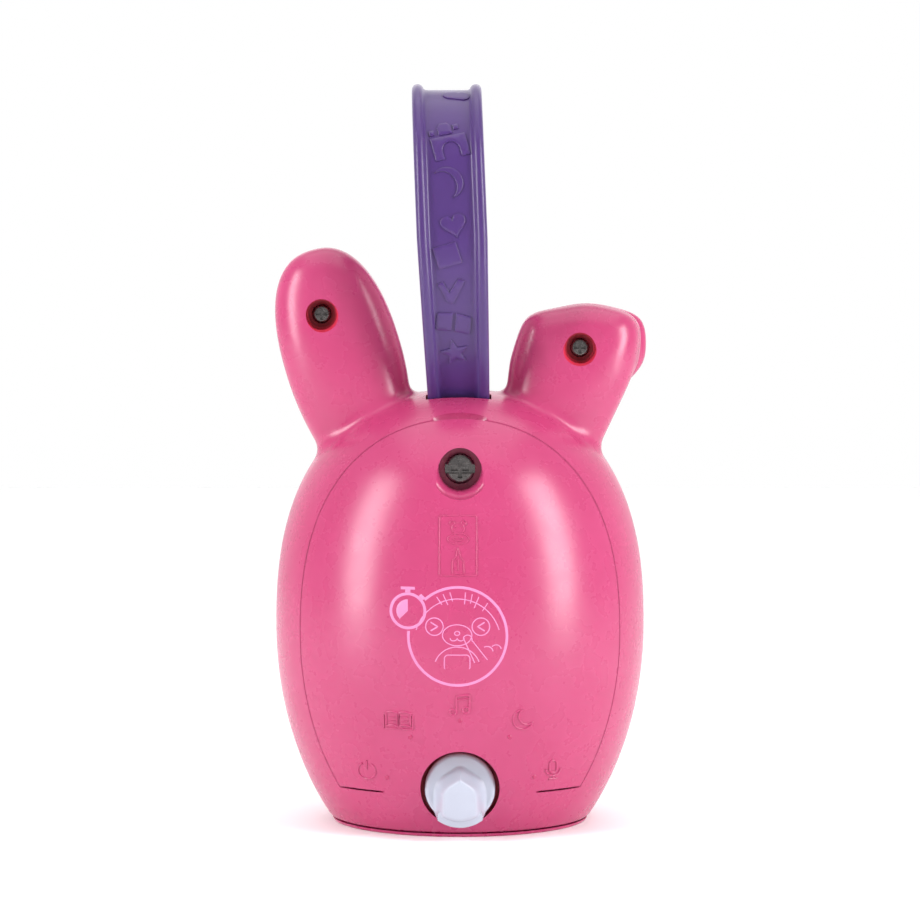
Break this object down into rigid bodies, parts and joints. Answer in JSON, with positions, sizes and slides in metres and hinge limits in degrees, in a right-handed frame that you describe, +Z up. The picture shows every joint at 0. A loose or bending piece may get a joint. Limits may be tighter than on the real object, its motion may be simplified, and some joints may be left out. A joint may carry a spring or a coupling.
{
  "type": "toy pet with carrying strap",
  "caption": "Hard moulded talking toy pet: egg body, one tall and one folded ear, strap handle, back battery door and turning mode knob.",
  "frame": {"origin": "middle of the bounding box at the surface that the pet stands on", "axes": "+Z up along the longest side, face towards -Y, battery door and mode knob towards +Y, tall ear on +X"},
  "size_m": [0.0815, 0.0743, 0.1609],
  "materials": {
    "pink_abs": "satin moulded",
    "deep_pink_abs": "satin moulded, shaded inside",
    "purple_elastomer": "soft moulded, matt",
    "white_abs": "high gloss",
    "cream_abs": "fine satin",
    "lilac_abs": "satin moulded",
    "eye_acrylic": "polished",
    "zinc_steel": "zinc plated",
    "nickel": "nickel plated",
    "black_nylon": "matt moulded",
    "acetal": "satin",
    "cell_jacket": "printed film",
    "circuit_board": "solder mask",
    "clear_epoxy": "clear moulded",
    "can_aluminium": "drawn can",
    "ferrite": "sintered",
    "speaker_paper": "pressed paper",
    "lead_pvc": "extruded"
  },
  "bodies": {
    "casing": {"base_plate": "pink_abs", "battery_box": "deep_pink_abs", "battery_lead": "lead_pvc", "bay_screw_1": "zinc_steel", "bay_screw_2": "zinc_steel", "bay_screw_3": "zinc_steel", "bay_screw_4": "zinc_steel", "board_screw_1": "zinc_steel", "board_screw_2": "zinc_steel", "board_screw_3": "zinc_steel", "contact_plate_1": "nickel", "contact_plate_2": "nickel", "contact_plate_3": "nickel", "contact_spring_1": "nickel", "contact_spring_2": "nickel", "contact_spring_3": "nickel", "dry_cell_1": "cell_jacket", "dry_cell_2": "cell_jacket", "dry_cell_3": "cell_jacket", "ear_screw_folded": "zinc_steel", "ear_screw_tall": "zinc_steel", "eye_left": "eye_acrylic", "eye_right": "eye_acrylic", "face_plate": "cream_abs", "front_board": "circuit_board", "front_shell": "pink_abs", "handle_strap": "purple_elastomer", "microphone_capsule": "can_aluminium", "mode_switch_housing": "black_nylon", "nose_switch": "black_nylon", "rear_shell": "pink_abs", "sound_chip": "black_nylon", "speaker_basket": "zinc_steel", "speaker_cone": "speaker_paper", "speaker_lead": "lead_pvc", "speaker_magnet": "ferrite", "tummy_lamp": "clear_epoxy", "tummy_switch": "black_nylon"},
    "door": {"battery_door": "pink_abs"},
    "door_screw": {"door_screw": "zinc_steel", "door_screw_ring": "zinc_steel"},
    "knob": {"mode_knob": "white_abs", "detent_rotor": "acetal"},
    "nose": {"nose_button": "deep_pink_abs"},
    "tummy": {"tummy_button": "lilac_abs"}
  },
  "joints": [
    {"name": "door_swing", "type": "hinge", "parent": "casing", "child": "door", "pos_m": [0, 0.0285, 0.01], "axis": [-1, 0, 0], "range_deg": [0, 75]},
    {"name": "door_screw_turn", "type": "hinge", "parent": "door", "child": "door_screw", "pos_m": [0, 0.0229, 0.0792], "axis": [0, 1, 0], "continuous": true},
    {"name": "mode_turn", "type": "hinge", "parent": "casing", "child": "knob", "pos_m": [0, 0.0247, 0.0113], "axis": [0, 1, 0], "range_deg": [-80, 80]},
    {"name": "nose_press", "type": "slide", "parent": "casing", "child": "nose", "axis": [0, 1, 0], "range_m": [0, 0.0015], "stiffness_N_per_m": 900},
    {"name": "tummy_press", "type": "slide", "parent": "casing", "child": "tummy", "axis": [0, 1, 0], "range_m": [0, 0.0015], "stiffness_N_per_m": 900}
  ]
}
